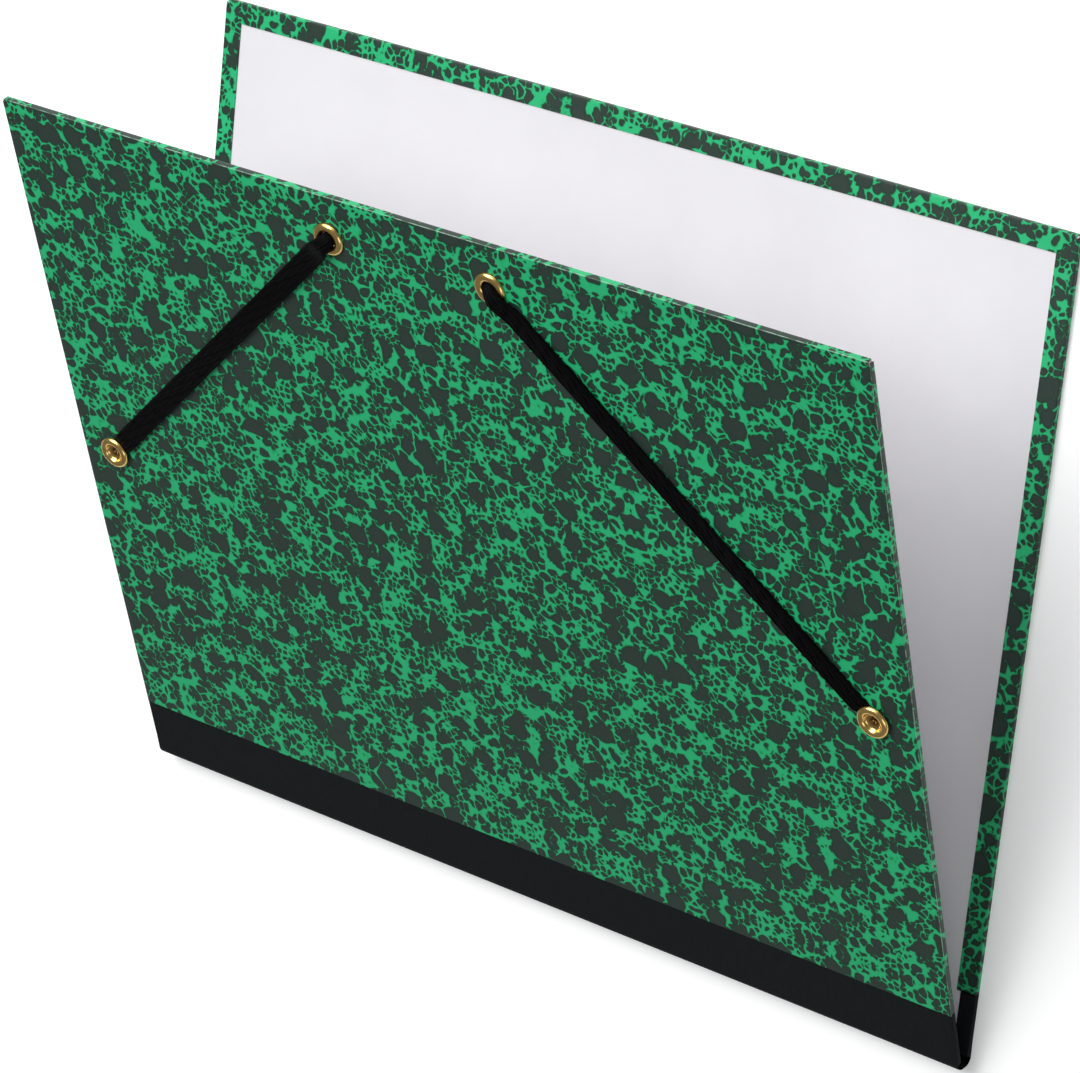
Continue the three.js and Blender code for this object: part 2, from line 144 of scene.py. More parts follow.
# Each cover has a frame in millimetres, with its origin on the crease: x runs along the spine, y
# to the fore edge, and z from the outer face inwards
hinge = Vector(frame["joints"][0]["pos_m"])
back_place = Matrix.Translation(hinge) @ Matrix.Scale(MM, 4)
OPENING = math.radians(22)
front_place = (Matrix.Translation(hinge) @ Matrix.Rotation(OPENING - math.pi, 4, "X")
               @ Matrix.Rotation(math.pi, 4, "Z") @ Matrix.Scale(MM, 4))
TOP_EYELETS = [Vector((33.5, 248.2)), Vector((-28.5, 248.2))]
SIDE_EYELETS = [Vector((150.5, 133.0)), Vector((-150.5, 133.0))]
HOLE_RADIUS = 2.95


def new_object(name, mesh):
    obj = bpy.data.objects.new(name, mesh)
    bpy.context.scene.collection.objects.link(obj)
    return obj


def settle(obj):
    """Makes an object's evaluated shape its plain mesh and takes its modifiers off."""
    graph = bpy.context.evaluated_depsgraph_get()
    mesh = bpy.data.meshes.new_from_object(obj.evaluated_get(graph))
    obj.modifiers.clear()
    obj.data = mesh
    return mesh


def smooth_mesh(mesh, angle):
    mesh.polygons.foreach_set("use_smooth", [True] * len(mesh.polygons))
    mesh.set_sharp_from_angle(angle=math.radians(angle))


def fold_profile():
    """The sheet's section at a folded edge, from the outer face round to the lining: how far in
    from the edge, how high, and how far in it was on the flat sheet."""
    steps = 6
    rows = [(FLAT_FROM, OUTER)]
    for i in range(steps + 1):
        turn = math.pi / 2 * i / steps
        rows.append((FOLD_RADIUS * (1 - math.sin(turn)), OUTER + FOLD_RADIUS * (1 - math.cos(turn))))
    for i in range(steps + 1):
        turn = math.pi / 2 * i / steps
        rows.append((FOLD_RADIUS * (1 - math.cos(turn)),
                     TURNED_FACE - FOLD_RADIUS * (1 - math.sin(turn))))
    rows += [(1.5, TURNED_FACE), (TURN_IN, TURNED_FACE)]
    profile, laid = [], FLAT_FROM
    for k, (d, z) in enumerate(rows):
        if k:
            laid -= math.hypot(d - rows[k - 1][0], z - rows[k - 1][1])
        profile.append((d, z, laid))
    return profile


def covering(name, place, printed_at, eyelets):
    """The folded sheet. Its UV map 'sheet' is the flat sheet where it lay on the printed roll, and
    its map 'fold' holds how far a point lies from the fold, both in metres."""
    bm = bmesh.new()
    sheet = bm.loops.layers.uv.new("sheet")
    fold = bm.loops.layers.uv.new("fold")
    profile = fold_profile()

    def add_face(ring):
        corners = [bm.verts.new(place @ Vector(point)) for point, flat, inset in ring]
        face = bm.faces.new(corners)
        for loop, (point, flat, inset) in zip(face.loops, ring):
            loop[sheet].uv = ((flat[0] + printed_at[0]) * MM, (flat[1] + printed_at[1]) * MM)
            loop[fold].uv = (inset * MM, 0.0)

    def add_strip(rows):
        for row, after in zip(rows, rows[1:]):
            for k in range(len(row) - 1):
                add_face([row[k], row[k + 1], after[k + 1], after[k]])

    # The mitre runs in to the corner of the border: a groove where one flap laps the other
    def groove(d, on_mitre):
        return MITRE_GROOVE if on_mitre and d > CORNER else 0.0

    # Distances of a flap's cross cuts from its mitre, close together where the groove fades
    offsets = [0.0, 0.12, 0.35, 1.2, 5.0, 20.0, 60.0, 120.0, 180.0]
    middle_row = len(profile) // 2
    outline = []
    for side in (1, -1):
        rows = []
        for offset in offsets + [None]:
            row = []
            for k, (d, z, inset) in enumerate(profile):
                y = PAPER_EDGE if offset is None else FORE_EDGE - max(d, CORNER) - offset
                lapped = groove(d, offset == 0.0 and k > middle_row)
                point = (side * (HALF_LENGTH - d), y, z - lapped)
                flat = (side * (HALF_LENGTH - inset), y)
                row.append((point, flat, inset))
            rows.append(row)
        add_strip(rows)
        outline.append([row[0][0][:2] for row in rows])
    # The fore edge's flap is cut from both ends, so its cuts stop well before its middle
    rows = []
    spans = [offset for offset in offsets if offset < FORE_EDGE / 3]
    for side, offset in [(-1, o) for o in spans] + [(0, 0)] + [(1, o) for o in reversed(spans)]:
        row = []
        for k, (d, z, inset) in enumerate(profile):
            x = side * (HALF_LENGTH - max(d, CORNER) - offset)
            lapped = groove(d, offset == 0.0 and side and k > middle_row)
            row.append(((x, FORE_EDGE - d, z - lapped), (x, FORE_EDGE - inset), inset))
        rows.append(row)
    add_strip(rows)
    fore_line = [row[0][0][:2] for row in rows]

    # The two rounded corners between the flaps
    steps = 6
    for side in (-1, 1):
        rows = []
        for i in range(steps + 1):
            turn = math.pi / 2 * i / steps
            row = []
            for d, z, inset in profile:
                if d >= CORNER:
                    break
                reach, out = CORNER - d, CORNER - inset
                point = (side * (HALF_LENGTH - CORNER + reach * math.cos(turn)),
                         FORE_EDGE - CORNER + reach * math.sin(turn), z)
                flat = (side * (HALF_LENGTH - CORNER + out * math.cos(turn)),
                        FORE_EDGE - CORNER + out * math.sin(turn))
                row.append((point, flat, inset))
            rows.append(row)
        add_strip(rows)

    # The outer face, with a round hole for each eyelet
    steps = 40
    turns = [2 * math.pi * i / steps for i in range(steps)]
    loops = [outline[0][::-1] + fore_line[::-1][1:-1] + outline[1]]
    for centre in eyelets:
        loops.append([(centre.x + HOLE_RADIUS * math.cos(turn),
                       centre.y + HOLE_RADIUS * math.sin(turn)) for turn in turns])
    points = [Vector(p) for loop in loops for p in loop]
    edges, base = [], 0
    for loop in loops:
        edges += [(base + i, base + (i + 1) % len(loop)) for i in range(len(loop))]
        base += len(loop)
    # Output type 1 keeps what lies inside the outline, the holes too, so their faces are left out
    inside_only, tolerance = 1, 1e-5
    flat_points, _, faces, *_ = delaunay_2d_cdt(points, edges, [], inside_only, tolerance)
    for face in faces:
        middle = sum((flat_points[k] for k in face), Vector((0.0, 0.0))) / len(face)
        if any((middle - centre).length < HOLE_RADIUS for centre in eyelets):
            continue
        ring = []
        for k in face:
            x, y = flat_points[k]
            ring.append(((x, y, OUTER), (x, y), FLAT_FROM))
        add_face(ring)

    bmesh.ops.remove_doubles(bm, verts=bm.verts, dist=WELD * MM)
    bmesh.ops.recalc_face_normals(bm, faces=bm.faces)
    outward = place.to_3x3() @ Vector((0, 0, -1))
    widest = max(bm.faces, key=lambda face: face.calc_area())
    if widest.normal.dot(outward) < 0:
        bmesh.ops.reverse_faces(bm, faces=bm.faces)
    mesh = bpy.data.meshes.new(name)
    bm.to_mesh(mesh)
    bm.free()
    obj = new_object(name, mesh)
    wall = obj.modifiers.new("sheet", "SOLIDIFY")
    wall.thickness = SHEET * MM
    wall.offset = -1.0
    smooth_mesh(settle(obj), angle=40)
    return obj


# The roll is printed with a mirror line at 0 each way, and the front sheet was cut across both
BACK_PRINTED_AT, FRONT_PRINTED_AT = (214.0, 57.0), (69.0, -32.0)
back_paper = covering("marbled_covering_back", back_place, BACK_PRINTED_AT, [])
front_paper = covering("marbled_covering_front", front_place, FRONT_PRINTED_AT,
                       TOP_EYELETS + SIDE_EYELETS)

# Marbled paper printed in green over near black and laminated with a satin film: dark clots and
# round cells from 1 to 9 mm across, thin green webs between them and bright green pools
marbled, tree = new_material("marbled_paper_satin_film")


def calc(operation, *values, **settings):
    sockets = {f"i{k}": value for k, value in enumerate(values)}
    return add_node(tree, "ShaderNodeMath", {"operation": operation, **settings}, **sockets).outputs[0]


def vector_calc(operation, *values, **sockets):
    sockets.update({f"i{k}": value for k, value in enumerate(values)})
    return add_node(tree, "ShaderNodeVectorMath", {"operation": operation}, **sockets).outputs[0]


def remap(value, low, high, new_low, new_high, clamp=False):
    return add_node(tree, "ShaderNodeMapRange", {"clamp": clamp}, Value=value, From_Min=low,
                    From_Max=high, To_Min=new_low, To_Max=new_high).outputs[0]


def cloud(where, size, detail, seed):
    moved = vector_calc("ADD", where, (seed, 0.7 * seed, 0.0))
    return add_node(tree, "ShaderNodeTexNoise", {"noise_dimensions": "2D"}, Vector=moved,
                    Scale=1 / size, Detail=detail).outputs


def pushed(where, size, reach, seed):
    shift = vector_calc("SUBTRACT", cloud(where, size, 1.0, seed)["Color"], (0.5, 0.5, 0.5))
    return vector_calc("SCALE", shift, Scale=reach)


# Sizes on the sheet, in millimetres: how the ink drifted and feathered, the green pools, the
# patches of larger cells, both kinds of cell, and the space between the big drops
DRIFT_SIZE, DRIFT_REACH = 8.0, 2.4
FEATHER_SIZE, FEATHER_REACH = 1.5, 0.5
POOL_SIZE = 6.5
PATCH_SIZE = 9.0
SMALL_CELL, LARGE_CELL = 2.5, 4.0
DROP_SPACING = 9.0
# Shares of a cell's size: how far it reaches, and how softly its corners are rounded off
CELL_REACH, CELL_ROUND = 0.68, 0.3
roll = vector_calc("SCALE", add_node(tree, "ShaderNodeUVMap", {"uv_map": "sheet"}), Scale=1 / MM)
parts = add_node(tree, "ShaderNodeSeparateXYZ", None, Vector=roll)
printed = add_node(tree, "ShaderNodeCombineXYZ", None, X=calc("ABSOLUTE", parts.outputs[0]),
                   Y=calc("ABSOLUTE", parts.outputs[1])).outputs[0]
drift = pushed(printed, DRIFT_SIZE, DRIFT_REACH, seed=0.0)
feather = pushed(printed, FEATHER_SIZE, FEATHER_REACH, seed=31.0)
drifted = vector_calc("ADD", printed, drift)
swirled = vector_calc("ADD", drifted, feather)
pool = remap(cloud(printed, POOL_SIZE, detail=2.0, seed=57.0)["Fac"], 0.35, 0.65, 0.0, 0.3)


def foam(size, loose):
    """How deep a point lies in a dark cell, with the corners of the cells rounded off."""
    near, far = [
        add_node(tree, "ShaderNodeTexVoronoi", {"voronoi_dimensions": "2D", "feature": feature},
                 Vector=swirled, Scale=1 / size, Randomness=loose).outputs["Distance"]
        for feature in ("F1", "F2")]
    rounded = calc("SUBTRACT", CELL_REACH, near)
    web = calc("SUBTRACT", far, near)
    return calc("SUBTRACT", calc("SMOOTH_MIN", web, rounded, CELL_ROUND), pool)


patches = cloud(printed, PATCH_SIZE, detail=1.0, seed=11.0)["Fac"]
coarse_here = remap(patches, 0.49, 0.53, 0.0, 1.0, clamp=True)
cells = add_node(tree, "ShaderNodeMix", None, Factor=coarse_here, i2=foam(SMALL_CELL, 0.9),
                 i3=calc("MULTIPLY", foam(LARGE_CELL, 1.0), 1.4))
drop = add_node(tree, "ShaderNodeTexVoronoi", {"voronoi_dimensions": "2D", "feature": "F1"},
                Vector=drifted, Scale=1 / DROP_SPACING)
chance = add_node(tree, "ShaderNodeSeparateColor", None, Color=drop.outputs["Color"])
drop_reach = remap(chance, 0.0, 1.0, -0.08, 0.5)
clots = calc("MULTIPLY", calc("SUBTRACT", drop_reach, drop.outputs["Distance"]), 2.4)
depth = calc("SMOOTH_MAX", cells, clots, 0.12)
ink = add_node(tree, "ShaderNodeValToRGB", None,
               Fac=remap(depth, -0.2, 0.3, 0.0, 1.0, clamp=True))
stops = ink.color_ramp.elements
stops[0].position, stops[0].color = 0.0, linear("#27b476")
stops[1].position, stops[1].color = 1.0, linear("#2b3a33")
for position, colour in ((0.24, "#20aa6a"), (0.36, "#178a54"),
                         (0.44, "#0f5333"), (0.54, "#1f352c")):
    stops.new(position).color = linear(colour)
# A painted highlight along the sharp folds, where the rounded paper catches the light:
# a pale broken line under half a millimetre wide
FOLD_HIGHLIGHT_AT, FOLD_HIGHLIGHT_CORE, FOLD_HIGHLIGHT_EDGE = 0.09, 0.04, 0.2
fold_line = add_node(tree, "ShaderNodeUVMap", {"uv_map": "fold"})
across_fold = add_node(tree, "ShaderNodeSeparateXYZ", None, Vector=fold_line).outputs[0]
from_fold = calc("ABSOLUTE", calc("SUBTRACT", across_fold, FOLD_HIGHLIGHT_AT * MM))
highlight_gaps = cloud(printed, 3.0, detail=4.0, seed=83.0)["Fac"]
broken = remap(highlight_gaps, 0.4, 0.62, 0.15, 0.75, clamp=True)
on_fold = remap(from_fold, FOLD_HIGHLIGHT_CORE * MM, FOLD_HIGHLIGHT_EDGE * MM, 1.0, 0.0, clamp=True)
painted_fold_highlight = calc("MULTIPLY", on_fold, broken)
# The pale green of the painted highlight on the folds
tone = add_node(tree, "ShaderNodeMix", {"data_type": "RGBA"}, Factor=painted_fold_highlight, i6=ink,
                i7=linear("#a8cdb4"))
# A film over pasted paper: waves a few centimetres long and a fine skin under a millimetre
waves = cloud(printed, 38.0, detail=1.0, seed=5.0)["Fac"]
pasted = add_node(tree, "ShaderNodeBump", None, Strength=0.5, Distance=0.22 * MM, Height=waves)
skin = cloud(printed, 0.9, detail=2.0, seed=7.0)["Fac"]
film = add_node(tree, "ShaderNodeBump", None, Strength=0.15, Distance=0.02 * MM, Height=skin,
                Normal=pasted)
finish_material(tree, Base_Color=tone.outputs[2], Roughness=0.42, Specular_IOR_Level=0.28,
                Normal=film)
for obj, node, body in ((back_paper, "back_cover_paper", "back_cover"),
                        (front_paper, "front_cover_paper", "front_cover")):
    obj.data.materials.append(marbled)
    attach(obj, body)
    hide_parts(node)

# Spine: one strip of black book cloth, folded round the joint. It reaches 20 mm up each cover,
# under the edge of the marbled paper, and is turned in at both ends, with a narrow strip that
# lines the joint inside. Starch keeps it flat and fills the weave.
CLOTH = 0.3
CLOTH_FACE = OUTER + 0.08
UNDER_PAPER = 0.5
BOARD_FACE = -2.84
FOLD_FROM, FOLD_TO = 3.22, 3.48
STRIP_REACH = 11.5
END_TURN_IN = 5.5
LINING_FACE = -1.27
JOINT_INSET = 0.03
FOLD_ROUND = 0.35
STRIP_ROUND = 0.06
JOINT_STEPS = 14


def half_section(reach, filled, cover_round, joint_round):
    """Half of the strip's section in a cover's frame, from under the paper round to the crease,
    back along the inside and round the board, as rows of y and z. Also how many rows are outside."""
    outer = HINGE_HEIGHT - JOINT_INSET - joint_round
    inner = HINGE_HEIGHT - CLOTH + joint_round
    face = CLOTH_FACE + cover_round
    rows = [(PAPER_EDGE + UNDER_PAPER, face), (PAPER_EDGE - 0.15, face), (8.0, face)]
    turns = [math.pi / 2 * (i / JOINT_STEPS) ** 0.8 for i in range(JOINT_STEPS + 1)]
    round_out = [(HINGE_HEIGHT - outer * math.sin(t), -outer * math.cos(t)) for t in turns]
    round_in = [(HINGE_HEIGHT - inner * math.sin(t), -inner * math.cos(t)) for t in reversed(turns)]
    rows += round_out
    crease = len(rows)
    top = TURNED_FACE - cover_round
    rows += round_in
    rows += [(FOLD_FROM, top - FOLD_ROUND), (FOLD_FROM + 0.1, top - 0.1),
             (FOLD_FROM + FOLD_ROUND, top), (5.0, top),
             (reach - STRIP_ROUND, top), (reach, top - STRIP_ROUND), (reach, LINING_FACE)]
    if filled:
        rows += [(reach, -2.0), (reach, -2.4)]
    else:
        rows += [(FOLD_TO, LINING_FACE), (FOLD_TO, BOARD_FACE)]
    return rows + [(PAPER_EDGE + UNDER_PAPER, BOARD_FACE)], crease


def whole_section(x, *shape):
    """The section at x across both covers, as points of the row with their run along the cloth."""
    rows, crease = half_section(*shape)
    runs = [0.0]
    for (y0, z0), (y1, z1) in zip(rows, rows[1:]):
        runs.append(runs[-1] + math.hypot(y1 - y0, z1 - z0))
    across = runs[crease - 1]
    runs = [run - across for run in runs]
    back = [(back_place @ Vector((x, y, z)), run) for (y, z), run in zip(rows, runs)]
    front = [(front_place @ Vector((-x, y, z)), -run) for (y, z), run in zip(rows, runs)]
    return back[:crease] + front[:crease][::-1] + front[crease:][::-1] + back[crease:]


EDGE_ROUND = 0.14
END_ROUND = 0.4
END_STEPS = 4
hem = HALF_LENGTH - END_TURN_IN
full = PAPER_EDGE + UNDER_PAPER
stations = []
for i in range(END_STEPS + 1):
    turn = math.pi / 2 * i / END_STEPS
    stations.append((HALF_LENGTH - END_ROUND * (1 - math.sin(turn)), full, i > 1,
                     END_ROUND * (1 - math.cos(turn)), EDGE_ROUND * (1 - math.cos(turn))))
# From the middle of the spine out to one end: plain strip, hem, rounded end
side_stations = [(60.0, STRIP_REACH, False, 0.0, 0.0), (hem, STRIP_REACH, False, 0.0, 0.0),
                 (hem + 0.02, full, False, 0.0, 0.0)] + stations
sections = [whole_section(-x, *shape) for x, *shape in reversed(side_stations)]
sections += [whole_section(x, *shape) for x, *shape in side_stations]
places = [-x for x, *shape in reversed(side_stations)] + [x for x, *shape in side_stations]
bm = bmesh.new()
weave = bm.loops.layers.uv.new("weave")
rings = [[bm.verts.new(point) for point, run in section] for section in sections]
count = len(rings[0])
for i in range(len(rings) - 1):
    for k in range(count):
        after = (k + 1) % count
        ring = [(i, k), (i + 1, k), (i + 1, after), (i, after)]
        face = bm.faces.new([rings[a][b] for a, b in ring])
        for loop, (a, b) in zip(face.loops, ring):
            loop[weave].uv = (places[a] * MM, sections[a][b][1] * MM)
# Both ends are closed cover by cover, and between the covers at the crease
rows, crease = half_section(*side_stations[-1][1:])
half = len(rows)
for ring in (rings[0], rings[-1]):
    outer_back, outer_front = ring[:crease], ring[crease:2 * crease]
    inner_front, inner_back = ring[2 * crease:crease + half], ring[crease + half:]
    for outer, inner in ((outer_back, inner_back), (outer_front[::-1], inner_front[::-1])):
        bm.faces.new(outer + inner)
    bm.faces.new([outer_back[-1], outer_front[0], inner_front[-1], inner_back[0]])
bmesh.ops.remove_doubles(bm, verts=bm.verts, dist=WELD * MM)
bmesh.ops.triangulate(bm, faces=[face for face in bm.faces if len(face.verts) > 4])
bmesh.ops.recalc_face_normals(bm, faces=bm.faces)
mesh = bpy.data.meshes.new("spine_cloth")
bm.to_mesh(mesh)
bm.free()
smooth_mesh(mesh, angle=35)
spine_cloth = new_object("spine_cloth", mesh)

# Starched black cotton in plain weave, 18 threads to the centimetre: matt, with a faint lift where
# light grazes the threads
book_cloth, tree = new_material("starched_black_bookcloth")
THREAD = 0.55
woven = vector_calc("SCALE", add_node(tree, "ShaderNodeUVMap", {"uv_map": "weave"}), Scale=1 / MM)
wander = pushed(woven, 6.0, 0.5, seed=3.0)
parts = add_node(tree, "ShaderNodeSeparateXYZ", None, Vector=vector_calc("ADD", woven, wander))
warp = calc("SINE", calc("MULTIPLY", parts.outputs[0], 2 * math.pi / THREAD))
weft = calc("SINE", calc("MULTIPLY", parts.outputs[1], 2 * math.pi / THREAD))
drawn_out = vector_calc("MULTIPLY", woven, (1.0, 0.12, 1.0))
slub = cloud(drawn_out, 0.7, detail=2.0, seed=13.0)["Fac"]
crossing = calc("MULTIPLY", warp, weft)
threads = calc("ADD", calc("MULTIPLY", crossing, 0.5), calc("MULTIPLY", slub, 0.9))
shown = remap(threads, -0.2, 1.1, 0.0, 1.0, clamp=True)
tone = add_node(tree, "ShaderNodeMix", {"data_type": "RGBA"}, Factor=shown,
                i6=linear("#0b0e0f"), i7=linear("#1a1f21"))
relief = add_node(tree, "ShaderNodeBump", None, Strength=0.5, Distance=0.06 * MM, Height=threads)
finish_material(tree, Base_Color=tone.outputs[2], Roughness=0.8, Specular_IOR_Level=0.12,
                Normal=relief)
spine_cloth.data.materials.append(book_cloth)
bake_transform(spine_cloth)
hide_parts("spine_cloth_back", "spine_cloth_front")

# Eyelets: four small rings drawn from thin yellow brass and set through the front cover. The two
# near the fore edge stay open for the elastic. The two at the sides are crimped down on its ends,
# and their centres are folded in to a pleated star.
FLANGE = 5.6
BORE = 2.6
BARREL = 2.9
DOME = 1.25
CURL = 4.2
CURL_HEIGHT = 0.75
BRASS_SHEET = 0.3
COVER_DEPTH = 1.85
OPEN_LIFT, PAD_LIFT = 0.05, 0.9
# The crimped centre, as radius and height: down into the funnel, and back up behind it
STAR_FRONT = [(2.85, 0.2), (2.6, -0.05), (2.2, -0.22), (1.8, -0.34), (1.4, -0.47), (1.0, -0.62),
              (0.7, -0.85), (0.4, -1.15), (0.04, -1.3)]
STAR_BACK = [(0.04, -1.5), (0.55, -1.4), (1.0, -1.0), (1.6, -0.75), (2.2, -0.58), (BORE, -0.5)]
PLEATS, PLEAT_DEPTH, PLEAT_REACH = 5, 0.32, 0.3
# Radii: where the pleats and the painted shade begin, where the pleats are full, and where the painted
# shade in the eyelet's hollow is darkest
PLEAT_FROM, PLEAT_FULL, HOLLOW_SHADE_FULL = 2.7, 1.2, 0.9


def arch(start, end, base, height, steps, share=1.0):
    """Half an ellipse between two radii, or the first share of it."""
    turns = [math.pi * share * i / steps for i in range(steps + 1)]
    return [((start + end) / 2 + (start - end) / 2 * math.cos(turn),
             base + height * math.sin(turn)) for turn in turns]


def eyelet_profile(name, depth, folded):
    """The brass's closed section, as radius and height over the paper's face, kept as a mesh line."""
    if folded:
        rows = arch(FLANGE, BARREL, 0.0, DOME, 18, share=0.87) + STAR_FRONT + STAR_BACK
    else:
        rows = arch(FLANGE, BORE, 0.0, DOME, 20)
    rows += arch(BORE, CURL, -depth, -CURL_HEIGHT, 10)
    rows += arch(CURL - BRASS_SHEET, BARREL, -depth, BRASS_SHEET - CURL_HEIGHT, 6)
    rows += arch(BARREL, FLANGE - BRASS_SHEET, 0.0, DOME - BRASS_SHEET, 8)
    mesh = bpy.data.meshes.new(name)
    edges = [(i, i + 1) for i in range(len(rows) - 1)]
    mesh.from_pydata([(radius * MM, 0.0, z * MM) for radius, z in rows], edges, [])
    return new_object(name, mesh)


def new_recipe(name, inputs):
    """A Geometry Nodes tree with named inputs, and the node that brings them in."""
    recipe = bpy.data.node_groups.new(name, "GeometryNodeTree")
    recipe.interface.new_socket(name="Geometry", in_out="INPUT", socket_type="NodeSocketGeometry")
    for label, kind in inputs.items():
        recipe.interface.new_socket(name=label, in_out="INPUT", socket_type=kind)
    recipe.interface.new_socket(name="Geometry", in_out="OUTPUT", socket_type="NodeSocketGeometry")
    return recipe, recipe.nodes.new("NodeGroupInput")


def make_from_recipe(name, recipe, values):
    """A plain mesh object from the tree, with its inputs set by their identifiers."""
    obj = new_object(name, bpy.data.meshes.new(name))
    modifier = obj.modifiers.new(name, "NODES")
    modifier.node_group = recipe
    for item in recipe.interface.items_tree:
        if item.in_out == "INPUT" and item.name in values:
            modifier[item.identifier] = values[item.name]
    settle(obj)
    return obj


def round_grid(columns, around):
    """A flat grid to be bent to shape, with each point's column and its turn round the section."""
    rows = calc("ADD", around, 1.0)
    grid = add_node(tree, "GeometryNodeMeshGrid", None, Size_X=1.0, Size_Y=1.0,
                    Vertices_X=columns, Vertices_Y=rows)
    index = add_node(tree, "GeometryNodeInputIndex")
    column = calc("FLOOR", calc("DIVIDE", calc("ADD", index, 0.5), rows))
    row = calc("SUBTRACT", index, calc("MULTIPLY", column, rows))
    turn = calc("MULTIPLY", calc("DIVIDE", row, around), 2 * math.pi)
    return grid.outputs["Mesh"], column, turn


def finish_recipe(shape, material):
    """Ends a tree: real faces that look outwards, shaded smooth, with the material on them."""
    real = add_node(tree, "GeometryNodeRealizeInstances", None, Geometry=shape)
    outward = add_node(tree, "GeometryNodeFlipFaces", None, Mesh=real)
    smooth = add_node(tree, "GeometryNodeSetShadeSmooth", None, Geometry=outward)
    dressed = add_node(tree, "GeometryNodeSetMaterial", None, Geometry=smooth, Material=material)
    add_node(tree, "NodeGroupOutput", None, Geometry=dressed)


turned, given = new_recipe("turned_eyelets", {
    "Profile": "NodeSocketObject", "Around": "NodeSocketInt", "Folds": "NodeSocketInt",
    "Fold depth": "NodeSocketFloat", "First seat": "NodeSocketVector",
    "Second seat": "NodeSocketVector", "Tilt": "NodeSocketVector", "Metal": "NodeSocketMaterial"})
tree = turned
section = add_node(tree, "GeometryNodeObjectInfo", None,
                   Object=given.outputs["Profile"]).outputs["Geometry"]
size = add_node(tree, "GeometryNodeAttributeDomainSize", None, Geometry=section)
columns = calc("ADD", size.outputs["Point Count"], 1.0)
skin, column, turn = round_grid(columns, given.outputs["Around"])
wrapped = calc("MODULO", column, size.outputs["Point Count"])
point = add_node(tree, "GeometryNodeSampleIndex", {"data_type": "FLOAT_VECTOR"}, Geometry=section,
                 Value=add_node(tree, "GeometryNodeInputPosition"), Index=wrapped)
parts = add_node(tree, "ShaderNodeSeparateXYZ", None, Vector=point)
folds_passed = calc("DIVIDE", calc("MULTIPLY", turn, given.outputs["Folds"]), 2 * math.pi)
wave = calc("PINGPONG", folds_passed, 0.5)
pleat = calc("SUBTRACT", calc("MULTIPLY", wave, 4.0), 1.0)
towards_centre = remap(parts.outputs[0], PLEAT_FROM * MM, PLEAT_FULL * MM, 0.0, 1.0, clamp=True)
folded_in = calc("MULTIPLY", pleat, towards_centre)
creased = calc("MULTIPLY", folded_in, calc("GREATER_THAN", given.outputs["Folds"], 0.5))
drawn_in = calc("ADD", calc("MULTIPLY", creased, PLEAT_REACH), 1.0)
radius = calc("MULTIPLY", parts.outputs[0], drawn_in)
# Painted shade for the brass: darker towards the centre of the hollow, and darker and lighter by turns
# from pleat to pleat
sunk = calc("ADD", remap(parts.outputs[0], PLEAT_FROM * MM, HOLLOW_SHADE_FULL * MM, 0.0, 0.9, clamp=True),
            calc("MULTIPLY", creased, -0.3))
height = calc("ADD", parts.outputs[2], calc("MULTIPLY", folded_in, given.outputs["Fold depth"]))
ring_place = add_node(tree, "ShaderNodeCombineXYZ", None,
                      X=calc("MULTIPLY", radius, calc("COSINE", turn)),
                      Y=calc("MULTIPLY", radius, calc("SINE", turn)), Z=height)
shaped = add_node(tree, "GeometryNodeSetPosition", None, Geometry=skin, Position=ring_place)
ring = add_node(tree, "GeometryNodeStoreNamedAttribute", {"data_type": "FLOAT", "domain": "POINT"},
                Geometry=shaped, Name="sunk", Value=sunk)
closed = add_node(tree, "GeometryNodeMergeByDistance", None, Geometry=ring, Distance=0.001 * MM)
seats = add_node(tree, "GeometryNodeMeshLine", {"mode": "END_POINTS"}, Count=2,
                 Start_Location=given.outputs["First seat"], i3=given.outputs["Second seat"])
tilt = add_node(tree, "FunctionNodeEulerToRotation", None, Euler=given.outputs["Tilt"])
pair = add_node(tree, "GeometryNodeInstanceOnPoints", None, Points=seats, Instance=closed,
                Rotation=tilt)
finish_recipe(pair, given.outputs["Metal"])

# Drawn brass, polished and lacquered: a warm yellow mirror softened by the rolling, with fine
# scratches, and painted shade in dark brown over the hollow centres and pleats of the eyelets
polished_brass, tree = new_material("polished_yellow_brass")
place = add_node(tree, "ShaderNodeTexCoord").outputs["Object"]
film = add_node(tree, "ShaderNodeTexNoise", None, Vector=place, Scale=1 / (2.2 * MM), Detail=4.0)
tone = add_node(tree, "ShaderNodeMix", {"data_type": "RGBA"}, Factor=film.outputs["Fac"],
                i6=linear("#dfb05a"), i7=linear("#f6d68c"))
# Painted shade: the brass turns dark brown where the eyelet's hollow and its pleats were marked
hollow_shade = add_node(tree, "ShaderNodeAttribute", {"attribute_name": "sunk"}).outputs["Fac"]
painted_shade_amount = remap(calc("ADD", hollow_shade, calc("MULTIPLY", film, 0.3)), 0.2, 1.0, 0.0, 1.0, clamp=True)
tone = add_node(tree, "ShaderNodeMix", {"data_type": "RGBA"}, Factor=painted_shade_amount, i6=tone.outputs[2],
                i7=linear("#5a3512"))
scratches = add_node(tree, "ShaderNodeTexNoise", None, Vector=place, Scale=1 / (0.25 * MM), Detail=3.0)
scratched = add_node(tree, "ShaderNodeBump", None, Strength=0.25, Distance=0.01 * MM,
                     Height=scratches.outputs["Fac"])
finish_material(tree, Base_Color=tone.outputs[2], Metallic=1.0, Roughness=0.24, Normal=scratched)

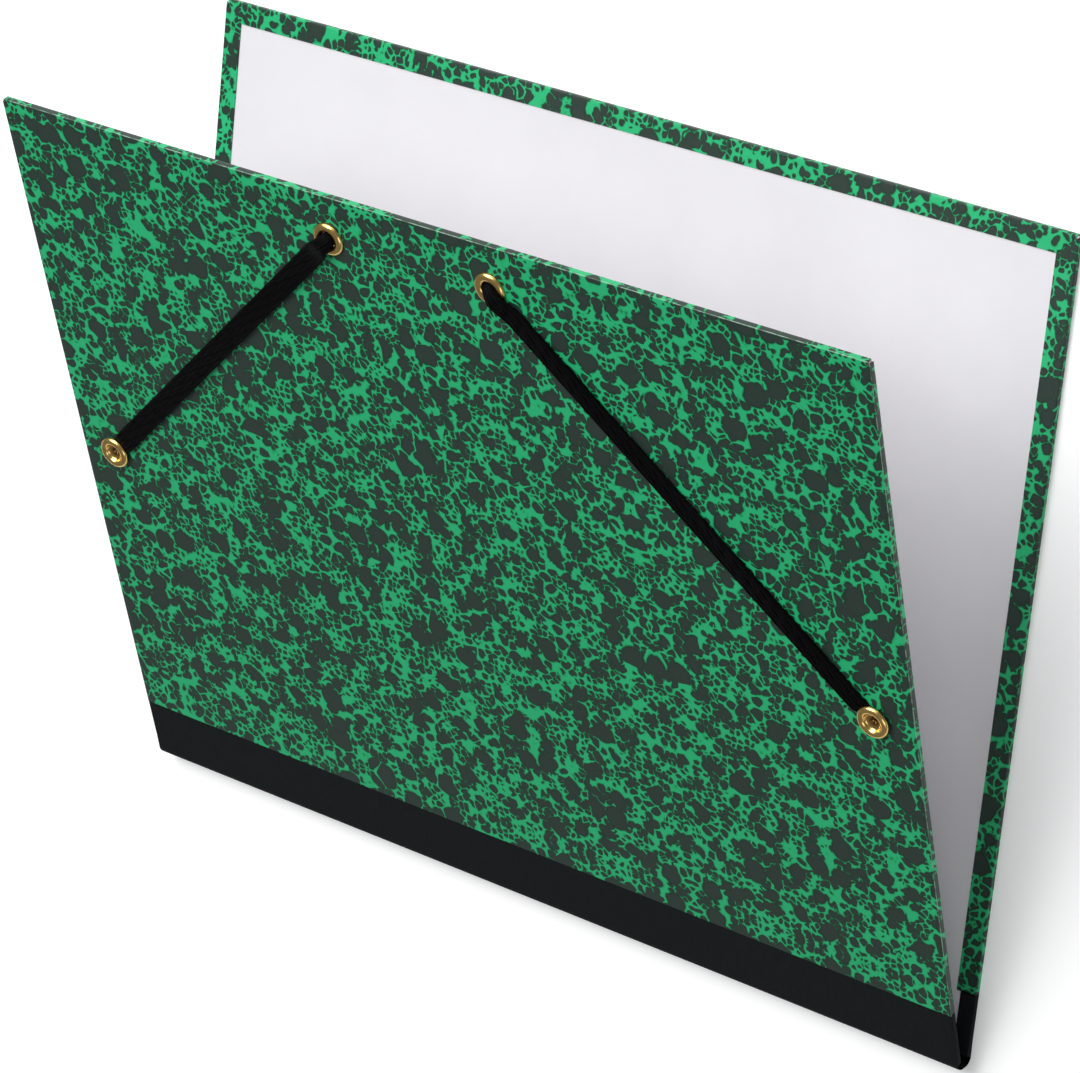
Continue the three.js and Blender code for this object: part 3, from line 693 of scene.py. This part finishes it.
tilt = (front_place.to_3x3() @ Matrix.Rotation(math.pi, 3, "X")).normalized().to_euler()
for name, nodes, centres, lift, folds in (
        ("open_eyelets", ("eyelet_top_left", "eyelet_top_right"), TOP_EYELETS, OPEN_LIFT, 0),
        ("crimped_eyelets", ("eyelet_side_left", "eyelet_side_right"), SIDE_EYELETS, PAD_LIFT, PLEATS)):
    profile = eyelet_profile("profile", COVER_DEPTH + lift, folds > 0)
    first, second = [front_place @ Vector((centre.x, centre.y, OUTER - lift)) for centre in centres]
    pair = make_from_recipe(name, turned, {
        "Profile": profile, "Around": 72, "Folds": folds,
        "Fold depth": PLEAT_DEPTH * MM if folds else 0.0, "First seat": first,
        "Second seat": second, "Tilt": tuple(tilt), "Metal": polished_brass})
    bpy.data.objects.remove(profile)
    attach(pair, "front_cover")
    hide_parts(*nodes)

# Elastic: a flat braid of black yarn over five rubber cores. Its ends are clamped under the side
# eyelets, and it runs up to the top eyelets, where it is pinched round, and along the inside
# between them.
BAND_WIDTH = 7.3
BAND_THICK = 1.4
BAND_NECK = 4.9
BAND_SPREAD = 7.0
BAND_REST = 0.15
UNDER_FLANGE = 0.7
# Heights of the band's middle: lying on the cover, over an open eyelet's dome, under a crimped
# flange, lying inside the cover, and over an open eyelet's rolled edge
face_rest = OUTER - BAND_REST - BAND_THICK / 2
over_rim = OUTER - OPEN_LIFT - DOME - 0.95
under_rim = OUTER - 0.1 - UNDER_FLANGE / 2
inside_rest = -1.35 + BAND_REST + BAND_THICK / 2
over_curl = OUTER + COVER_DEPTH + OPEN_LIFT + CURL_HEIGHT + 0.05 + 0.75


def laid_along(start, heading, rows):
    """Stations of the elastic on a straight run. A row holds the distance along it, the height, the
    width, the thickness and how flat and ribbed the braid lies."""
    across = Vector((-heading.y, heading.x, 0.0))
    return [(Vector((start.x + heading.x * s, start.y + heading.y * s, z)), across, width, thick, flat)
            for s, z, width, thick, flat in rows]


def outer_run(top, side):
    reach = (side - top).length
    near, far = FLANGE + BAND_SPREAD, reach - FLANGE - BAND_SPREAD * 0.6
    rows = [(0.3, OUTER - 0.5, 5.0, 4.6, 0.0), (1.35, over_rim + 0.8, 5.2, 3.5, 0.1),
            (3.0, over_rim, 5.6, 2.3, 0.3), (4.6, over_rim, 6.2, 1.8, 0.6),
            (FLANGE + 1.0, over_rim + 0.55, 6.9, 1.6, 0.85),
            (FLANGE + 3.2, face_rest - 0.35, 7.2, 1.5, 1.0)]
    rows += [(near + (far - near) * i / 10, face_rest, BAND_WIDTH, BAND_THICK, 1.0) for i in range(11)]
    rows += [(reach - FLANGE - 1.4, face_rest + 0.02, 7.0, 1.2, 1.0),
             (reach - FLANGE + 0.2, under_rim, 6.4, 0.75, 0.9),
             (reach - FLANGE + 1.5, under_rim, 6.8, UNDER_FLANGE, 0.8),
             (reach - BARREL - 0.1, under_rim, 6.8, UNDER_FLANGE, 0.8)]
    return laid_along(top, (side - top).normalized(), rows)


def inner_run(start, end):
    reach = (end - start).length
    half = [(0.7, -1.0, 4.7, 3.8, 0.0), (CURL * 0.5, over_curl - 0.2, 4.6, 2.1, 0.1),
            (CURL * 0.8, over_curl, 4.8, 1.5, 0.3), (CURL * 1.1, over_curl - 0.05, 5.3, 1.4, 0.5),
            (CURL + BAND_SPREAD * 0.7, inside_rest + 0.15, 6.5, BAND_THICK, 1.0),
            (CURL + BAND_SPREAD * 1.3, inside_rest, BAND_WIDTH, BAND_THICK, 1.0)]
    rows = half + [(reach / 2, inside_rest, BAND_WIDTH, BAND_THICK, 1.0)]
    rows += [(reach - row[0], *row[1:]) for row in reversed(half)]
    return laid_along(start, (end - start).normalized(), rows)


def neck(centre, before, after, heights):
    """The round neck inside an eyelet, where the braid turns from one run to the next."""
    stations = []
    for share, z in zip((0.3, 0.7), heights):
        heading = before.lerp(after, share).normalized()
        stations.append((Vector((centre.x, centre.y, z)), Vector((-heading.y, heading.x, 0.0)),
                         BAND_NECK, BAND_NECK, 0.0))
    return stations


first_top, second_top = TOP_EYELETS
first_side, second_side = SIDE_EYELETS
up = (first_top - first_side).normalized()
inward = (second_top - first_top).normalized()
down = (second_side - second_top).normalized()
up_run = [(centre, -across, *rest)
          for centre, across, *rest in reversed(outer_run(first_top, first_side))]
NECK_RISE = 0.35
middle = (OUTER - 1.3) / 2
rising = (middle - NECK_RISE, middle + NECK_RISE)
stations = (up_run + neck(first_top, up, inward, rising)
            + inner_run(first_top, second_top)
            + neck(second_top, inward, down, rising[::-1])
            + outer_run(second_top, second_side))


def between(before, start, end, after, share):
    """A smooth curve through start and end that heads for their neighbours."""
    a = 2 * start
    b = end - before
    c = 2 * before - 5 * start + 4 * end - after
    d = 3 * start - before - 3 * end + after
    return 0.5 * (a + b * share + c * share ** 2 + d * share ** 3)


def dense_path(stations, longest):
    """The stations with more of them set between, so that none is further on than longest."""
    dense = []
    for k in range(len(stations) - 1):
        window = [stations[min(max(k + n, 0), len(stations) - 1)] for n in (-1, 0, 1, 2)]
        pieces = max(1, math.ceil((window[2][0] - window[1][0]).length / longest))
        for i in range(pieces):
            share = i / pieces
            eased = share * share * (3 - 2 * share)
            centre = between(*[station[0] for station in window], share)
            across = window[1][1].lerp(window[2][1], eased).normalized()
            sizes = [window[1][n] + (window[2][n] - window[1][n]) * eased for n in (2, 3, 4)]
            dense.append((centre, across, *sizes))
    return dense + [stations[-1]]


dense = dense_path(stations, 1.0)
# Both ends are closed by shrinking the last outline to a point
TIP = 0.001
tips = [(centre, across, TIP, TIP, flat) for centre, across, *_, flat in (dense[0], dense[-1])]
dense = [tips[0]] + dense + [tips[1]]
centres = [centre for centre, *rest in dense]
laid, lengths, ups, acrosses = 0.0, [], [], []
turn_only = front_place.to_3x3().normalized()
for k, (centre, across, *rest) in enumerate(dense):
    laid += (centre - centres[k - 1]).length if k else 0.0
    lengths.append(laid)
    along = (centres[min(k + 1, len(dense) - 1)] - centres[max(k - 1, 0)]).normalized()
    acrosses.append(turn_only @ across)
    ups.append(turn_only @ along.cross(across).normalized())
mesh = bpy.data.meshes.new("elastic_path")
mesh.from_pydata([front_place @ centre for centre in centres], [], [])
for name, kind, field, values in (
        ("across", "FLOAT_VECTOR", "vector", [value for vector in acrosses for value in vector]),
        ("up", "FLOAT_VECTOR", "vector", [value for vector in ups for value in vector]),
        ("width", "FLOAT", "value", [row[2] * MM for row in dense]),
        ("thick", "FLOAT", "value", [row[3] * MM for row in dense]),
        ("flat", "FLOAT", "value", [row[4] for row in dense]),
        ("laid", "FLOAT", "value", [length * MM for length in lengths])):
    mesh.attributes.new(name, kind, "POINT").data.foreach_set(field, values)
path = new_object("elastic_path", mesh)

braided, given = new_recipe("braided_elastic", {
    "Path": "NodeSocketObject", "Around": "NodeSocketInt", "Cores": "NodeSocketInt",
    "Groove": "NodeSocketFloat", "Yarn": "NodeSocketMaterial"})
tree = braided
route = add_node(tree, "GeometryNodeObjectInfo", None, Object=given.outputs["Path"]).outputs["Geometry"]
size = add_node(tree, "GeometryNodeAttributeDomainSize", None, Geometry=route)
skin, station, turn = round_grid(size.outputs["Point Count"], given.outputs["Around"])


def at_station(name, kind):
    """A value of the path's own at this vertex's station."""
    if name == "position":
        value = add_node(tree, "GeometryNodeInputPosition")
    else:
        value = add_node(tree, "GeometryNodeInputNamedAttribute", {"data_type": kind}, Name=name)
    return add_node(tree, "GeometryNodeSampleIndex", {"data_type": kind}, Geometry=route, Value=value,
                    Index=station).outputs[0]


flatness = at_station("flat", "FLOAT")
# The outline is a circle where the braid is pinched round and a soft rectangle where it lies flat
CIRCLE, SOFT_RECTANGLE = 2.0, 5.5
square = remap(flatness, 0.0, 1.0, CIRCLE, SOFT_RECTANGLE)
aside = calc("COSINE", turn)
rest = calc("MAXIMUM", calc("SUBTRACT", 1.0, calc("POWER", calc("ABSOLUTE", aside), square)), 0.0)
face_side = calc("SIGN", calc("SINE", turn))
above = calc("MULTIPLY", face_side, calc("POWER", rest, calc("DIVIDE", 1.0, square)))
cores_passed = calc("MULTIPLY", calc("ADD", aside, 1.0), given.outputs["Cores"])
core = calc("COSINE", calc("MULTIPLY", cores_passed, math.pi))
cut = calc("MULTIPLY", calc("MULTIPLY", calc("ADD", core, 1.0), flatness), given.outputs["Groove"])
out = calc("MULTIPLY", calc("MULTIPLY", aside, at_station("width", "FLOAT")), 0.5)
lift = calc("MULTIPLY", calc("MULTIPLY", above, at_station("thick", "FLOAT")),
            calc("SUBTRACT", 0.5, cut))
moved = vector_calc("ADD", vector_calc("SCALE", at_station("across", "FLOAT_VECTOR"), Scale=out),
                    vector_calc("SCALE", at_station("up", "FLOAT_VECTOR"), Scale=lift))
centre = at_station("position", "FLOAT_VECTOR")
braid = add_node(tree, "GeometryNodeSetPosition", None, Geometry=skin,
                 Position=vector_calc("ADD", centre, moved))
flat_place = add_node(tree, "ShaderNodeCombineXYZ", None, X=at_station("laid", "FLOAT"),
                      Y=calc("MULTIPLY", aside, 0.5 * BAND_WIDTH * MM))
mapped = add_node(tree, "GeometryNodeStoreNamedAttribute", {"data_type": "FLOAT2", "domain": "CORNER"},
                  Geometry=braid, Name="weave", Value=flat_place)
closed = add_node(tree, "GeometryNodeMergeByDistance", None, Geometry=mapped, Distance=0.003 * MM)
finish_recipe(closed, given.outputs["Yarn"])

# Black polyester yarn braided over the cores: dull black, with fine slanting threads 0.55 mm apart
# that turn the other way on each core, and a painted highlight of broken lighter lines along their
# crowns
black_yarn, tree = new_material("braided_black_elastic")
CORES = 5
YARN = 0.55
laid_flat = vector_calc("SCALE", add_node(tree, "ShaderNodeUVMap", {"uv_map": "weave"}), Scale=1 / MM)
parts = add_node(tree, "ShaderNodeSeparateXYZ", None, Vector=laid_flat)
core_place = calc("MULTIPLY", calc("ADD", parts.outputs[1], BAND_WIDTH / 2), CORES / BAND_WIDTH)
slant = calc("MULTIPLY", calc("PINGPONG", core_place, 0.5), 1.6)
yarns_passed = calc("ADD", calc("DIVIDE", parts.outputs[0], YARN), slant)
strand = calc("SINE", calc("MULTIPLY", yarns_passed, 2 * math.pi))
crown = calc("SINE", calc("MULTIPLY", calc("FRACT", core_place), math.pi))
drawn_out = vector_calc("MULTIPLY", laid_flat, (0.2, 1.0, 1.0))
streak = cloud(drawn_out, 0.5, detail=2.0, seed=17.0)["Fac"]
streaked_crown = calc("ADD", crown, calc("MULTIPLY", streak, 0.4))
relief_height = calc("ADD", calc("MULTIPLY", strand, 0.12), streaked_crown)
# Painted highlight: broken lighter lines on the crowns of the cores
shown = remap(calc("ADD", crown, calc("MULTIPLY", streak, 0.9)), 1.28, 1.58, 0.0, 1.0, clamp=True)
tone = add_node(tree, "ShaderNodeMix", {"data_type": "RGBA"}, Factor=shown, i6=linear("#010101"),
                i7=linear("#1e1e22"))
relief = add_node(tree, "ShaderNodeBump", None, Strength=0.8, Distance=0.2 * MM, Height=relief_height)
finish_material(tree, Base_Color=tone.outputs[2], Roughness=0.6, Specular_IOR_Level=0.05,
                Normal=relief)
elastic = make_from_recipe("corner_elastic", braided, {
    "Path": path, "Around": 96, "Cores": CORES, "Groove": 0.1, "Yarn": black_yarn})
bpy.data.objects.remove(path)
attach(elastic, "front_cover")
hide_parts("elastic_band")

# Floor and light: a plain pale floor under the back cover and soft light from above, as in the
# white studio of the photograph
floor_mesh = bpy.data.meshes.new("floor")
floor_mesh.from_pydata([(-6, -6, 0), (6, -6, 0), (6, 6, 0), (-6, 6, 0)], [], [(0, 1, 2, 3)])
floor = new_object("floor", floor_mesh)
# A lit table: it glows a little, so that the ground stays white round the soft shadow
pale, tree = new_material("pale_floor")
finish_material(tree, Base_Color=linear("#f6f6f6"), Roughness=0.95, Specular_IOR_Level=0.2,
                Emission_Color=linear("#ffffff"), Emission_Strength=0.22)
floor_mesh.materials.append(pale)
scene = bpy.context.scene
scene.view_settings.view_transform = "Standard"

world = bpy.data.worlds.new("studio")
scene.world = world
world.use_nodes = True
world.node_tree.nodes["Background"].inputs[0].default_value = (0.95, 0.97, 1.0, 1)
world.node_tree.nodes["Background"].inputs[1].default_value = 0.2


def softbox(name, place, aim, size, power):
    light = bpy.data.lights.new(name, "AREA")
    light.shape = "RECTANGLE"
    light.size, light.size_y = size
    light.energy = power
    obj = new_object(name, light)
    facing = (Vector(aim) - Vector(place)).to_track_quat("-Z", "Y")
    obj.matrix_world = Matrix.Translation(place) @ facing.to_matrix().to_4x4()


softbox("overhead", (-0.6, 0.9, 1.45), (0, 0, 0), (1.3, 1.3), 33)
softbox("side", (1.2, -0.7, 1.2), (0, 0, 0), (0.8, 0.8), 4)
softbox("open_side", (0.2, 1.5, 0.8), (0, 0, 0), (1.0, 0.6), 3)

# Camera: it looks at the portfolio as the photograph does, from above the fore edge's right end.
# Width and focal length are in the photograph's pixels. The focal length and the place were
# solved from the corners of the covers.
PHOTO_WIDTH = 1080
FOCAL_LENGTH = 4800.7
camera_data = bpy.data.cameras.new("camera")
camera_data.sensor_width = 36.0
camera_data.lens = FOCAL_LENGTH / PHOTO_WIDTH * camera_data.sensor_width
camera_data.clip_end = 50.0
camera = new_object("camera", camera_data)
right = Vector((0.7804377966440676, 0.09577302868815642, -0.6178546532520819))
down = Vector((0.26993593941090954, -0.9429676659403556, 0.19479879261778732))
ahead = Vector((-0.5639604899137018, -0.31880951674455316, -0.7617801899822558))
camera.matrix_world = (Matrix.Translation(hinge + Vector((0.84580, 0.60718, 1.16347)))
                       @ Matrix((right, -down, -ahead)).transposed().to_4x4())
scene.camera = camera
